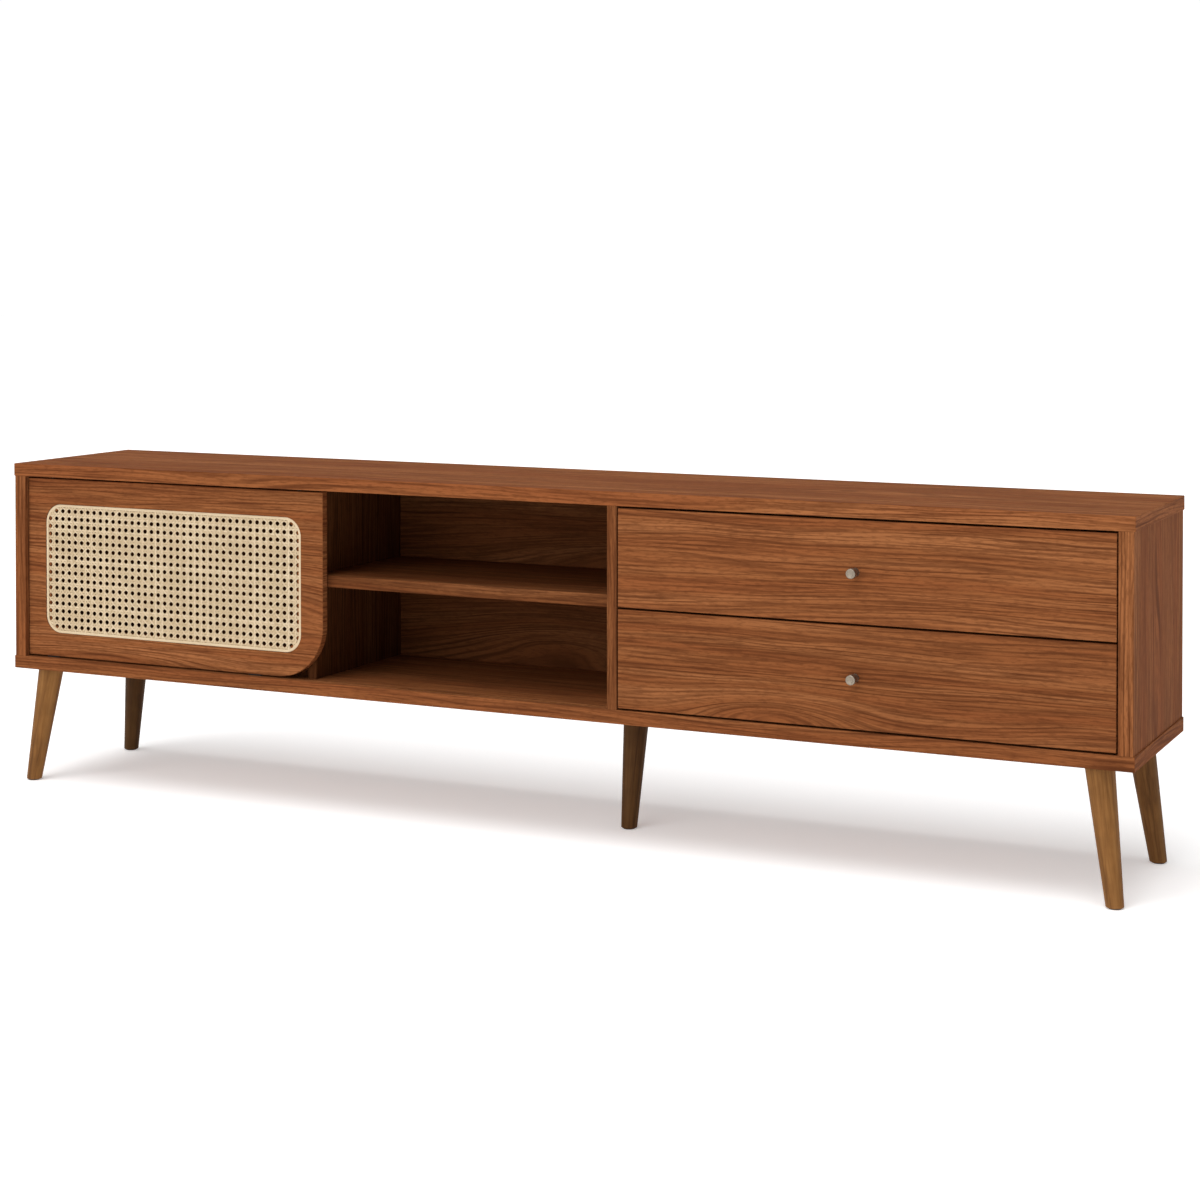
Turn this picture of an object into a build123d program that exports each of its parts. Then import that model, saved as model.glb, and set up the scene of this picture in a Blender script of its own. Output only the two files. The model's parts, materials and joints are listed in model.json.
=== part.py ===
from build123d import *
import os

# Low media stand: a sliding cane door, an open bay with a shelf, and two drawers on five legs.
#
# Millimetres, +Z up. X runs along the width and -Y is the front. The floor is Z = 0, and the
# origin is the middle of the footprint, with the drawer knobs counted in the depth.

# ---- overall sizes -------------------------------------------------------------------------
overall_width = 1800.0
overall_height = 508.5
body_depth = 298.0
leg_height = 180.0

# ---- boards --------------------------------------------------------------------------------
panel_thickness = 20.0      # top and bottom panels
side_thickness = 20.0
divider_thickness = 15.0
shelf_thickness = 18.0
back_thickness = 5.0
side_overhang = 2.0         # top and bottom panels stand proud of the side panels
back_inset = 19.0           # rear edge of the stand to the back panel
edge_round = 1.0            # eased edges of the boards that show
left_bay_width = 518.5      # behind the sliding door
drawer_bay_width = 710.0
shelf_lift = 141.0          # bottom panel to the underside of the shelf
shelf_end_gap = 0.5
groove_depth = 6.0          # grooves that hold the back panel
board_fit = 0.1             # play of a board in its groove

# ---- sliding door --------------------------------------------------------------------------
door_thickness = 12.0
door_recess = 8.0           # front of the stand to the front of the door
door_rear_gap = 3.0         # door to the divider and the shelf behind it
door_end_gap = 1.0
door_top_gap = 3.0
door_bottom_gap = 2.5
door_overlap = 21.0         # door past the inner face of the left divider
door_corner_radius = 80.0   # lower right corner, where the hand takes hold
door_edge_round = 1.2
window_left_margin = 34.0
window_right_margin = 39.0
window_top_margin = 40.0
window_bottom_margin = 37.0
window_radius = 29.0
window_ledge = 8.0          # ledge that the cane sheet is glued on
window_rebate = 3.0         # depth of the ledge behind the door's face
cane_thickness = 1.6
cane_play = 0.3
track_width = 4.6           # grooves in the top and bottom panels that lead the door
top_track_depth = 10.0
bottom_track_depth = 6.0
guide_inset = 45.0          # ends of the door's straight edges to its guides
guide_body_radius = 4.0
guide_body_length = 20.0
guide_pin_radius = 2.0
guide_pin_reach = 6.0       # pin above the mouth of the top track
glide_length = 24.0
glide_width = 4.0
glide_floor_gap = 0.2       # glide to the floor of the bottom track

# ---- drawers -------------------------------------------------------------------------------
front_thickness = 15.0
front_side_gap = 2.0
front_top_gap = 3.0
front_bottom_gap = 3.0
front_between_gap = 3.0
box_wall = 12.0             # drawer sides and back
box_length = 250.0
box_lift = 15.0             # lower edge of the front to the lower edge of the box
box_drop = 25.0             # upper edge of the front to the upper edge of the box
box_bottom_thickness = 4.0
box_bottom_lift = 10.0
box_groove_depth = 5.0

# ---- drawer slides -------------------------------------------------------------------------
slide_thickness = 12.7
slide_length = 250.0
slide_setback = 18.0        # front of the stand to the front end of the slide
slide_travel = 180.0
rail_height = 35.0
sheet_metal = 1.2
rail_open_gap = 1.7         # open edge of the cabinet member to the drawer side
lip_height = 1.0            # turned edges that keep the balls in
runner_height = 26.4
runner_open_gap = 3.0       # wall to the open edge of the drawer member
ball_radius = 1.45
ball_count = 6
ball_pitch = 11.0
cage_length = 68.0
cage_sheet = 0.8
cage_web_offset = 1.6       # wall to the web of the ball cage
cage_arm_overhang = 1.9     # middle of the ball rows to the end of the cage's arms
cage_hole_play = 0.1

# ---- knobs ---------------------------------------------------------------------------------
knob_projection = 20.0
knob_radius = 6.8
knob_neck_radius = 5.0
knob_base_radius = 5.8
knob_head_length = 9.0
knob_round = 0.8
knob_bore_depth = 12.0
machine_screw_radius = 2.0
machine_screw_head_radius = 4.0
machine_screw_head = 2.2
machine_screw_grip = 10.0   # thread inside the knob

# ---- legs ----------------------------------------------------------------------------------
leg_top_radius = 19.6
leg_foot_radius = 11.8
leg_foot_round = 1.5
corner_top_inset = 51.6     # side of the stand to the middle of a corner leg, at the panel
corner_foot_inset = 27.5    # and at the floor
front_top_inset = 27.6      # front of the stand to the middle of a front leg, at the panel
front_foot_inset = 12.9
rear_top_inset = 43.1
rear_foot_inset = 29.7
centre_leg_from_left = 1032.4
centre_leg_from_front = 148.4
centre_leg_sideways = -4.8  # foot relative to the top of the centre leg
centre_leg_forward = -18.6
glide_pad_radius = 8.5
glide_pad_thickness = 1.5
glide_nail_radius = 1.25
glide_nail_length = 12.0
leg_bolt_radius = 4.0
leg_bolt_in_leg = 30.0
leg_bolt_in_panel = 13.0
insert_radius = 6.5
insert_length = 15.0

# ---- knock-down fittings -------------------------------------------------------------------
pin_fit = 0.05              # radial play of dowels, bolts, cams and screws in their holes
dowel_radius = 4.0
dowel_in_panel = 11.0
dowel_in_upright = 19.0
cam_radius = 7.5
cam_height = 12.0
cam_setback = 24.0          # end of a board to the middle of its cam
cam_axis_depth = 7.5        # face with the cam to the axis of its bolt
drawer_cam_height = 9.5
drawer_cam_axis_depth = 6.0
cam_bolt_thread_radius = 3.0
cam_bolt_thread = 10.0
cam_bolt_shank_radius = 2.5
cam_bolt_head_radius = 3.5
cam_bolt_head = 4.0
bolt_bore_radius = 4.0
cam_row_inset = 60.0        # front and rear edges of an upright to its cams
dowel_row_inset = 34.0      # front and rear edges of an upright to its dowels
shelf_pin_radius = 2.5
shelf_pin_in_board = 8.0
shelf_pin_out = 8.0
shelf_pin_inset = 40.0
screw_radius = 1.5
screw_head_radius = 2.7
screw_head = 1.2
rail_screw_length = 12.0
runner_screw_length = 10.0
rail_screw_spots = (60.0, 200.0)    # along the slide, from its front end
box_screw_length = 30.0
box_screw_margin = 14.0

# ---- places worked out from the sizes ------------------------------------------------------
front_y = (knob_projection - body_depth) / 2
rear_y = front_y + body_depth
left_x = -overall_width / 2
right_x = overall_width / 2
floor_z = leg_height + panel_thickness          # upper face of the bottom panel
ceiling_z = overall_height - panel_thickness    # lower face of the top panel
inner_height = ceiling_z - floor_z

side_left_x = left_x + side_overhang + side_thickness      # inner face, left side panel
side_right_x = right_x - side_overhang - side_thickness    # inner face, right side panel
left_divider_x = side_left_x + left_bay_width
bay_left_x = left_divider_x + divider_thickness
right_divider_x = side_right_x - drawer_bay_width - divider_thickness
drawer_bay_x = right_divider_x + divider_thickness

back_rear_y = rear_y - back_inset
back_front_y = back_rear_y - back_thickness
set_back_y = front_y + door_recess + door_thickness + door_rear_gap

door_left_x = side_left_x + door_end_gap
door_right_x = bay_left_x + door_overlap
door_front_y = front_y + door_recess
door_rear_y = door_front_y + door_thickness
door_mid_y = door_front_y + door_thickness / 2
door_bottom_z = floor_z + door_bottom_gap
door_top_z = ceiling_z - door_top_gap
door_travel = right_divider_x - door_end_gap - door_right_x

front_height = (inner_height - front_top_gap - front_between_gap - front_bottom_gap) / 2
front_left_x = drawer_bay_x + front_side_gap
front_right_x = side_right_x - front_side_gap
front_rear_y = front_y + front_thickness
drawers = {
    "lower": floor_z + front_bottom_gap,
    "upper": floor_z + front_bottom_gap + front_height + front_between_gap,
}
box_left_x = drawer_bay_x + slide_thickness
box_right_x = side_right_x - slide_thickness
box_rear_y = front_rear_y + box_length
slide_front_y = front_y + slide_setback
rail_depth = slide_thickness - rail_open_gap
ball_offset = (runner_open_gap + rail_depth) / 2    # wall to the ball rows, between the lips

# name: (left face, right face, side that holds the cams, front edge, rear edge)
uprights = {
    "left_side_panel": (side_left_x - side_thickness, side_left_x, 1, front_y, rear_y),
    "left_divider": (left_divider_x, bay_left_x, -1, set_back_y, back_front_y),
    "right_divider": (right_divider_x, drawer_bay_x, 1, front_y, back_front_y),
    "right_side_panel": (side_right_x, side_right_x + side_thickness, -1, front_y, rear_y),
}


def save(builder, name):
    """Label a finished piece and write it as its own file."""
    builder.part.label = name
    export_step(builder.part, f"parts/{name}.step")


def block(x_from, x_to, y_from, y_to):
    """Draw a rectangle in the open sketch between two corners."""
    with Locations(((x_from + x_to) / 2, (y_from + y_to) / 2)):
        Rectangle(x_to - x_from, y_to - y_from)


def at_y(y):
    """Plane across the depth whose sketch axes are X and Z. Positive extrusion goes to the front."""
    return Plane.XZ.offset(-y)


def at_x(x):
    """Plane across the width whose sketch axes are Y and Z. Positive extrusion goes right."""
    return Plane.YZ.offset(x)


def rows(upright, inset):
    """Front and rear places of the fittings in the ends of an upright."""
    y_from, y_to = uprights[upright][3:]
    return (y_from + inset, y_to - inset)


def cam_axis_x(upright):
    """X of the cam bolts of an upright."""
    x_from, x_to, side = uprights[upright][:3]
    return x_to - cam_axis_depth if side > 0 else x_from + cam_axis_depth


def middle_x(upright):
    """X of the dowels of an upright, the middle of its thickness."""
    x_from, x_to = uprights[upright][:2]
    return (x_from + x_to) / 2


def drawer_heights(drawer):
    """Lower edge of a drawer's front and the lower and upper edges of its box."""
    front_z = drawers[drawer]
    return front_z, front_z + box_lift, front_z + front_height - box_drop


def slide_z(drawer):
    """Height of the middle of a drawer's slides."""
    _, low, high = drawer_heights(drawer)
    return (low + high) / 2


# ---- legs: (name, top middle, foot middle) in X and Y ---------------------------------------
def leg_places():
    """Top and foot middles of the five legs."""
    places = {}
    for depth, y_top, y_foot in (
        ("front", front_y + front_top_inset, front_y + front_foot_inset),
        ("rear", rear_y - rear_top_inset, rear_y - rear_foot_inset),
    ):
        for width, x_edge, way in (("left", left_x, 1), ("right", right_x, -1)):
            top = (x_edge + way * corner_top_inset, y_top)
            foot = (x_edge + way * corner_foot_inset, y_foot)
            places[f"{depth}_{width}_leg"] = (top, foot)
    top = (left_x + centre_leg_from_left, front_y + centre_leg_from_front)
    foot = (top[0] + centre_leg_sideways, top[1] + centre_leg_forward)
    places["centre_leg"] = (top, foot)
    return places


def make_flat_panel(name, outer_z, inner_z, track_depth):
    """Top or bottom panel. outer_z is its free face and inner_z the face the uprights meet."""
    inward = 1 if inner_z > outer_z else -1
    with BuildPart() as panel:
        with BuildSketch(Plane.XY.offset(min(outer_z, inner_z))):
            block(left_x, right_x, front_y, rear_y)
        extrude(amount=panel_thickness)
        fillet(panel.edges(), edge_round)
        # groove for the back panel, stopped short of the ends of the board
        with BuildSketch(Plane.XY.offset(inner_z)):
            block(side_left_x - groove_depth, side_right_x + groove_depth,
                  back_front_y - board_fit, back_rear_y + board_fit)
        extrude(amount=-inward * groove_depth, mode=Mode.SUBTRACT)
        # track that leads the sliding door
        with BuildSketch(Plane.XY.offset(inner_z)):
            block(side_left_x, right_divider_x,
                  door_mid_y - track_width / 2, door_mid_y + track_width / 2)
        extrude(amount=-inward * track_depth, mode=Mode.SUBTRACT)
        # blind holes for the dowels and the cam bolts
        with BuildSketch(Plane.XY.offset(inner_z)):
            for upright in uprights:
                for y in rows(upright, dowel_row_inset):
                    with Locations((middle_x(upright), y)):
                        Circle(dowel_radius + pin_fit)
        extrude(amount=-inward * (dowel_in_panel + board_fit), mode=Mode.SUBTRACT)
        with BuildSketch(Plane.XY.offset(inner_z)):
            for upright in uprights:
                for y in rows(upright, cam_row_inset):
                    with Locations((cam_axis_x(upright), y)):
                        Circle(cam_bolt_thread_radius + pin_fit)
        extrude(amount=-inward * (cam_bolt_thread + board_fit), mode=Mode.SUBTRACT)
        if name == "bottom_panel":
            with BuildSketch(Plane.XY.offset(outer_z)):
                with Locations(*[top for top, _ in leg_places().values()]):
                    Circle(insert_radius + pin_fit)
            extrude(amount=insert_length, mode=Mode.SUBTRACT)
    save(panel, name)


def cut_end_holes(upright, end_z, way):
    """Cut the dowel holes and bolt bores in one end of the upright being built."""
    with BuildSketch(Plane.XY.offset(end_z)) as dowel_holes:
        with Locations(*[(middle_x(upright), y) for y in rows(upright, dowel_row_inset)]):
            Circle(dowel_radius + pin_fit)
    with BuildSketch(Plane.XY.offset(end_z)) as bolt_bores:
        with Locations(*[(cam_axis_x(upright), y) for y in rows(upright, cam_row_inset)]):
            Circle(bolt_bore_radius)
    extrude(dowel_holes.sketch, way * (dowel_in_upright + board_fit), mode=Mode.SUBTRACT)
    extrude(bolt_bores.sketch, way * cam_setback, mode=Mode.SUBTRACT)


def make_upright(name):
    """Side panel or divider, standing between the bottom and top panels."""
    x_from, x_to, side, y_from, y_to = uprights[name]
    cam_face = x_to if side > 0 else x_from
    with BuildPart() as board:
        with BuildSketch(Plane.XY.offset(floor_z)):
            block(x_from, x_to, y_from, y_to)
        extrude(amount=inner_height)
        front_edges = board.faces().sort_by(Axis.Y)[0].edges().filter_by(Axis.Z)
        fillet(front_edges, edge_round)
        cut_end_holes(name, floor_z, 1)
        cut_end_holes(name, ceiling_z, -1)
        # round pockets for the cams
        with BuildSketch(at_x(cam_face)):
            for y in rows(name, cam_row_inset):
                with Locations((y, floor_z + cam_setback), (y, ceiling_z - cam_setback)):
                    Circle(cam_radius + pin_fit)
        extrude(amount=-side * (cam_height + board_fit), mode=Mode.SUBTRACT)
        if name.endswith("side_panel"):
            with BuildSketch(at_x(cam_face)):
                block(back_front_y - board_fit, back_rear_y + board_fit, floor_z, ceiling_z)
            extrude(amount=-side * groove_depth, mode=Mode.SUBTRACT)
        if name.startswith("right"):
            cut_rail_screw_holes(cam_face, side)
        if name.endswith("divider"):
            cut_shelf_pin_holes(name)
    save(board, name)


def cut_rail_screw_holes(face_x, side):
    """Pilot holes for the screws of the cabinet rails, in the board being built."""
    spots = [(slide_front_y + spot, slide_z(drawer))
             for drawer in drawers for spot in rail_screw_spots]
    with BuildSketch(at_x(face_x)) as pilot_holes:
        with Locations(*spots):
            Circle(screw_radius + pin_fit)
    extrude(pilot_holes.sketch, -side * rail_screw_length, mode=Mode.SUBTRACT)


def shelf_pin_rows():
    """Front and rear places of the shelf pins."""
    return (set_back_y + shelf_pin_inset, back_front_y - shelf_pin_inset)


def shelf_pin_z():
    """Height of the axes of the shelf pins, just under the shelf."""
    return floor_z + shelf_lift - shelf_pin_radius - pin_fit


def cut_shelf_pin_holes(name):
    """Holes for the shelf pins, in the face of a divider that looks into the open bay."""
    face_x, way = (bay_left_x, -1) if name == "left_divider" else (right_divider_x, 1)
    with BuildSketch(at_x(face_x)) as pin_holes:
        with Locations(*[(y, shelf_pin_z()) for y in shelf_pin_rows()]):
            Circle(shelf_pin_radius + pin_fit)
    extrude(pin_holes.sketch, way * (shelf_pin_in_board + board_fit), mode=Mode.SUBTRACT)


def make_shelf():
    """Shelf of the open bay, set back so that the door can pass in front of it."""
    with BuildPart() as shelf:
        with BuildSketch(Plane.XY.offset(floor_z + shelf_lift)):
            block(bay_left_x + shelf_end_gap, right_divider_x - shelf_end_gap,
                  set_back_y, back_front_y - shelf_end_gap)
        extrude(amount=shelf_thickness)
        fillet(shelf.faces().sort_by(Axis.Y)[0].edges().filter_by(Axis.X), edge_round)
    save(shelf, "middle_shelf")


def make_shelf_pins():
    """Four metal pins that carry the shelf."""
    reach = shelf_pin_in_board + shelf_pin_out
    with BuildPart() as pins:
        for start_x, way in ((bay_left_x, 1), (right_divider_x, -1)):
            with BuildSketch(at_x(start_x - way * shelf_pin_in_board)):
                for y in shelf_pin_rows():
                    with Locations((y, shelf_pin_z())):
                        Circle(shelf_pin_radius)
            extrude(amount=way * reach)
    save(pins, "shelf_pins")


def make_back_panel():
    """Thin sheet held in the grooves of the side, top and bottom panels."""
    tuck = groove_depth - board_fit
    with BuildPart() as back:
        with BuildSketch(at_y(back_rear_y)):
            block(side_left_x - tuck, side_right_x + tuck, floor_z - tuck, ceiling_z + tuck)
        extrude(amount=back_thickness)
    save(back, "back_panel")


def make_panel_dowels():
    """Wooden dowels between the uprights and the top and bottom panels."""
    length = dowel_in_panel + dowel_in_upright
    with BuildPart() as dowels:
        for start_z in (floor_z - dowel_in_panel, ceiling_z - dowel_in_upright):
            with BuildSketch(Plane.XY.offset(start_z)):
                for upright in uprights:
                    for y in rows(upright, dowel_row_inset):
                        with Locations((middle_x(upright), y)):
                            Circle(dowel_radius)
            extrude(amount=length)
    save(dowels, "panel_dowels")


def make_panel_cams():
    """Cam locks in the uprights. Each has a mouth that takes the head of its bolt."""
    with BuildPart() as cams:
        for upright, (x_from, x_to, side, _, _) in uprights.items():
            face_x = x_to if side > 0 else x_from
            with BuildSketch(at_x(face_x)):
                for y in rows(upright, cam_row_inset):
                    with Locations((y, floor_z + cam_setback), (y, ceiling_z - cam_setback)):
                        Circle(cam_radius)
            extrude(amount=-side * cam_height)
        reach = cam_setback + cam_bolt_head
        for end_z, way in ((floor_z, 1), (ceiling_z, -1)):
            with BuildSketch(Plane.XY.offset(end_z)):
                for upright in uprights:
                    for y in rows(upright, cam_row_inset):
                        with Locations((cam_axis_x(upright), y)):
                            Circle(bolt_bore_radius)
            extrude(amount=way * reach, mode=Mode.SUBTRACT)
    save(cams, "panel_cams")


def make_panel_cam_bolts():
    """Bolts screwed into the top and bottom panels, with heads caught by the cams."""
    with BuildPart() as bolts:
        for face_z, way in ((floor_z, 1), (ceiling_z, -1)):
            stretches = (
                (-cam_bolt_thread, 0.0, cam_bolt_thread_radius),
                (0.0, cam_setback - cam_bolt_head / 2, cam_bolt_shank_radius),
                (cam_setback - cam_bolt_head / 2, cam_setback + cam_bolt_head / 2,
                 cam_bolt_head_radius),
            )
            for start, end, radius in stretches:
                with BuildSketch(Plane.XY.offset(face_z + way * start)):
                    for upright in uprights:
                        for y in rows(upright, cam_row_inset):
                            with Locations((cam_axis_x(upright), y)):
                                Circle(radius)
                extrude(amount=way * (end - start))
    save(bolts, "panel_cam_bolts")


def make_leg(name, top, foot):
    """Round tapered leg, turned on a leaning axis and cut level at the panel and at the floor."""
    foot_point = Vector(foot[0], foot[1], 0)
    top_point = Vector(top[0], top[1], leg_height)
    axis = top_point - foot_point
    length = axis.length
    taper = (leg_top_radius - leg_foot_radius) / length
    spare = leg_top_radius
    turning = Plane(origin=foot_point, z_dir=axis)
    with BuildPart() as leg:
        with BuildSketch(turning.offset(-spare)):
            Circle(leg_foot_radius - taper * spare)
        with BuildSketch(turning.offset(length + spare)):
            Circle(leg_top_radius + taper * spare)
        loft()
        split(bisect_by=Plane.XY.offset(leg_height), keep=Keep.BOTTOM)
        split(bisect_by=Plane.XY.offset(glide_pad_thickness), keep=Keep.TOP)
        fillet(leg.edges().sort_by(Axis.Z)[0], leg_foot_round)
        with BuildSketch(Plane.XY.offset(leg_height)):
            with Locations(top):
                Circle(leg_bolt_radius + pin_fit)
        extrude(amount=-leg_bolt_in_leg - board_fit, mode=Mode.SUBTRACT)
        with BuildSketch(Plane.XY.offset(glide_pad_thickness)):
            with Locations(foot):
                Circle(glide_nail_radius + pin_fit)
        extrude(amount=glide_nail_length + board_fit, mode=Mode.SUBTRACT)
    save(leg, name)


def make_leg_fittings():
    """Threaded inserts in the bottom panel, hanger bolts in the legs, and glides under them."""
    tops = [top for top, _ in leg_places().values()]
    feet = [foot for _, foot in leg_places().values()]
    with BuildPart() as inserts:
        with BuildSketch(Plane.XY.offset(leg_height)):
            with Locations(*tops):
                Circle(insert_radius)
                Circle(leg_bolt_radius + pin_fit, mode=Mode.SUBTRACT)
        extrude(amount=insert_length)
    save(inserts, "leg_inserts")

    with BuildPart() as bolts:
        with BuildSketch(Plane.XY.offset(leg_height - leg_bolt_in_leg)):
            with Locations(*tops):
                Circle(leg_bolt_radius)
        extrude(amount=leg_bolt_in_leg + leg_bolt_in_panel)
    save(bolts, "leg_bolts")

    with BuildPart() as glides:
        with BuildSketch(Plane.XY):
            with Locations(*feet):
                Circle(glide_pad_radius)
        extrude(amount=glide_pad_thickness)
        with BuildSketch(Plane.XY.offset(glide_pad_thickness)):
            with Locations(*feet):
                Circle(glide_nail_radius)
        extrude(amount=glide_nail_length)
    save(glides, "foot_glides")


def window_bounds(spread):
    """Left, right, bottom and top of the door's window, grown by spread on every side."""
    return (door_left_x + window_left_margin - spread, door_right_x - window_right_margin + spread,
            door_bottom_z + window_bottom_margin - spread, door_top_z - window_top_margin + spread)


def window_sketch(spread):
    """Draw the rounded window in the open sketch, grown by spread on every side."""
    left, right, bottom, top = window_bounds(spread)
    with Locations(((left + right) / 2, (bottom + top) / 2)):
        RectangleRounded(right - left, top - bottom, window_radius + spread)


def guide_spots():
    """X of the door's guides: two on the top edge and two on the straight part of the lower one."""
    top = (door_left_x + guide_inset, door_right_x - guide_inset)
    bottom = (door_left_x + guide_inset, door_right_x - door_corner_radius - guide_inset)
    return top, bottom


def make_door_panel():
    """Door board with its window, the ledge for the cane, and bores for the guides."""
    top_guides, bottom_glides = guide_spots()
    with BuildPart() as door:
        with BuildSketch(at_y(door_rear_y)) as outline:
            block(door_left_x, door_right_x, door_bottom_z, door_top_z)
            corner = outline.vertices().group_by(Axis.X)[-1].sort_by(Axis.Y)[0]
            fillet(corner, door_corner_radius)
        extrude(amount=door_thickness)
        front_face = door.faces().sort_by(Axis.Y)[0]
        fillet(front_face.edges(), door_edge_round)
        with BuildSketch(at_y(door_rear_y)):
            window_sketch(-window_ledge)
        extrude(amount=door_thickness, mode=Mode.SUBTRACT)
        with BuildSketch(at_y(door_front_y)):
            window_sketch(0)
        extrude(amount=-window_rebate, mode=Mode.SUBTRACT)
        with BuildSketch(Plane.XY.offset(door_top_z)):
            with Locations(*[(x, door_mid_y) for x in top_guides]):
                Circle(guide_body_radius + pin_fit)
        extrude(amount=-guide_body_length - board_fit, mode=Mode.SUBTRACT)
        with BuildSketch(Plane.XY.offset(door_bottom_z)):
            with Locations(*[(x, door_mid_y) for x in bottom_glides]):
                Circle(guide_body_radius + pin_fit)
        extrude(amount=guide_body_length + board_fit, mode=Mode.SUBTRACT)
    save(door, "door_panel")


def make_cane_panel():
    """Sheet of woven cane, as its plain outline and thickness, glued on the window's ledge."""
    with BuildPart() as cane:
        with BuildSketch(at_y(door_front_y + window_rebate)):
            window_sketch(-cane_play)
        extrude(amount=cane_thickness)
    save(cane, "cane_panel")


def make_door_guides():
    """Nylon pins on the door's top edge and glides on its lower edge, led by the two tracks."""
    top_guides, bottom_glides = guide_spots()
    with BuildPart() as guides:
        with BuildSketch(Plane.XY.offset(door_top_z - guide_body_length)):
            with Locations(*[(x, door_mid_y) for x in top_guides]):
                Circle(guide_body_radius)
        extrude(amount=guide_body_length)
        with BuildSketch(Plane.XY.offset(door_top_z)):
            with Locations(*[(x, door_mid_y) for x in top_guides]):
                Circle(guide_pin_radius)
        extrude(amount=door_top_gap + guide_pin_reach)
    save(guides, "door_top_guides")

    blade_bottom_z = floor_z - bottom_track_depth + glide_floor_gap
    with BuildPart() as glides:
        with BuildSketch(Plane.XY.offset(door_bottom_z)):
            with Locations(*[(x, door_mid_y) for x in bottom_glides]):
                Circle(guide_body_radius)
        extrude(amount=guide_body_length)
        with BuildSketch(Plane.XY.offset(blade_bottom_z)):
            with Locations(*[(x, door_mid_y) for x in bottom_glides]):
                SlotOverall(glide_length, glide_width)
        extrude(amount=door_bottom_z - blade_bottom_z)
    save(glides, "door_bottom_glides")


def make_drawer_front(drawer):
    """Drawer front, flush with the front of the stand."""
    front_z, low, _ = drawer_heights(drawer)
    knob_x = (front_left_x + front_right_x) / 2
    knob_z = front_z + front_height / 2
    bottom_z = low + box_bottom_lift
    with BuildPart() as front:
        with BuildSketch(at_y(front_rear_y)):
            block(front_left_x, front_right_x, front_z, front_z + front_height)
        extrude(amount=front_thickness)
        fillet(front.faces().sort_by(Axis.Y)[0].edges(), edge_round)
        with BuildSketch(at_y(front_rear_y)):
            with Locations((knob_x, knob_z)):
                Circle(machine_screw_radius + pin_fit)
        extrude(amount=front_thickness, mode=Mode.SUBTRACT)
        with BuildSketch(at_y(front_rear_y)):
            with Locations(*[(x, slide_z(drawer)) for x in drawer_cam_axes()]):
                Circle(cam_bolt_thread_radius + pin_fit)
        extrude(amount=cam_bolt_thread + board_fit, mode=Mode.SUBTRACT)
        with BuildSketch(at_y(front_rear_y)):
            block(box_left_x + box_wall - box_groove_depth, box_right_x - box_wall + box_groove_depth,
                  bottom_z - board_fit, bottom_z + box_bottom_thickness + board_fit)
        extrude(amount=box_groove_depth, mode=Mode.SUBTRACT)
    save(front, f"{drawer}_drawer_front")


def drawer_cam_axes():
    """X of the cam bolts in the two drawer sides."""
    inset = box_wall - drawer_cam_axis_depth
    return (box_left_x + inset, box_right_x - inset)


def box_screw_places(low, high):
    """Heights of the two screws that hold a drawer side to the drawer back."""
    return (low + box_bottom_lift + box_bottom_thickness + box_screw_margin, high - box_screw_margin)


def make_drawer_side(drawer, name, outer_x, way):
    """Drawer side. way points from its outer face into the drawer."""
    _, low, high = drawer_heights(drawer)
    inner_x = outer_x + way * box_wall
    bottom_z = low + box_bottom_lift
    with BuildPart() as side:
        with BuildSketch(at_x(outer_x)):
            block(front_rear_y, box_rear_y, low, high)
        extrude(amount=way * box_wall)
        with BuildSketch(at_x(inner_x)):
            block(front_rear_y, box_rear_y, bottom_z - board_fit,
                  bottom_z + box_bottom_thickness + board_fit)
        extrude(amount=-way * box_groove_depth, mode=Mode.SUBTRACT)
        with BuildSketch(at_x(inner_x)):
            with Locations((front_rear_y + cam_setback, slide_z(drawer))):
                Circle(cam_radius + pin_fit)
        extrude(amount=-way * (drawer_cam_height + board_fit), mode=Mode.SUBTRACT)
        with BuildSketch(at_y(front_rear_y)):
            with Locations((inner_x - way * drawer_cam_axis_depth, slide_z(drawer))):
                Circle(bolt_bore_radius)
        extrude(amount=-cam_setback, mode=Mode.SUBTRACT)
        with BuildSketch(at_x(outer_x)):
            for spot in rail_screw_spots:
                with Locations((slide_front_y + spot, slide_z(drawer))):
                    Circle(screw_radius + pin_fit)
        extrude(amount=way * (runner_screw_length - sheet_metal), mode=Mode.SUBTRACT)
        with Locations(*[box_screw_plane(outer_x, way, z) for z in box_screw_places(low, high)]):
            CounterSinkHole(screw_radius + pin_fit, screw_head_radius + pin_fit, box_wall)
    save(side, name)


def box_screw_plane(outer_x, way, z):
    """Seat of a screw head in the outer face of a drawer side, facing outwards."""
    return Plane(origin=(outer_x, box_rear_y - box_wall / 2, z), z_dir=(-way, 0, 0))


def make_drawer_back(drawer):
    """Drawer back, between the two sides."""
    _, low, high = drawer_heights(drawer)
    bottom_z = low + box_bottom_lift
    depth = box_screw_length - box_wall
    with BuildPart() as back:
        with BuildSketch(at_y(box_rear_y)):
            block(box_left_x + box_wall, box_right_x - box_wall, low, high)
        extrude(amount=box_wall)
        with BuildSketch(at_y(box_rear_y - box_wall)):
            block(box_left_x + box_wall, box_right_x - box_wall, bottom_z - board_fit,
                  bottom_z + box_bottom_thickness + board_fit)
        extrude(amount=-box_groove_depth, mode=Mode.SUBTRACT)
        for face_x, way in ((box_left_x + box_wall, 1), (box_right_x - box_wall, -1)):
            with BuildSketch(at_x(face_x)):
                for z in box_screw_places(low, high):
                    with Locations((box_rear_y - box_wall / 2, z)):
                        Circle(screw_radius + pin_fit)
            extrude(amount=way * (depth + board_fit), mode=Mode.SUBTRACT)
    save(back, f"{drawer}_drawer_back")


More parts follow.
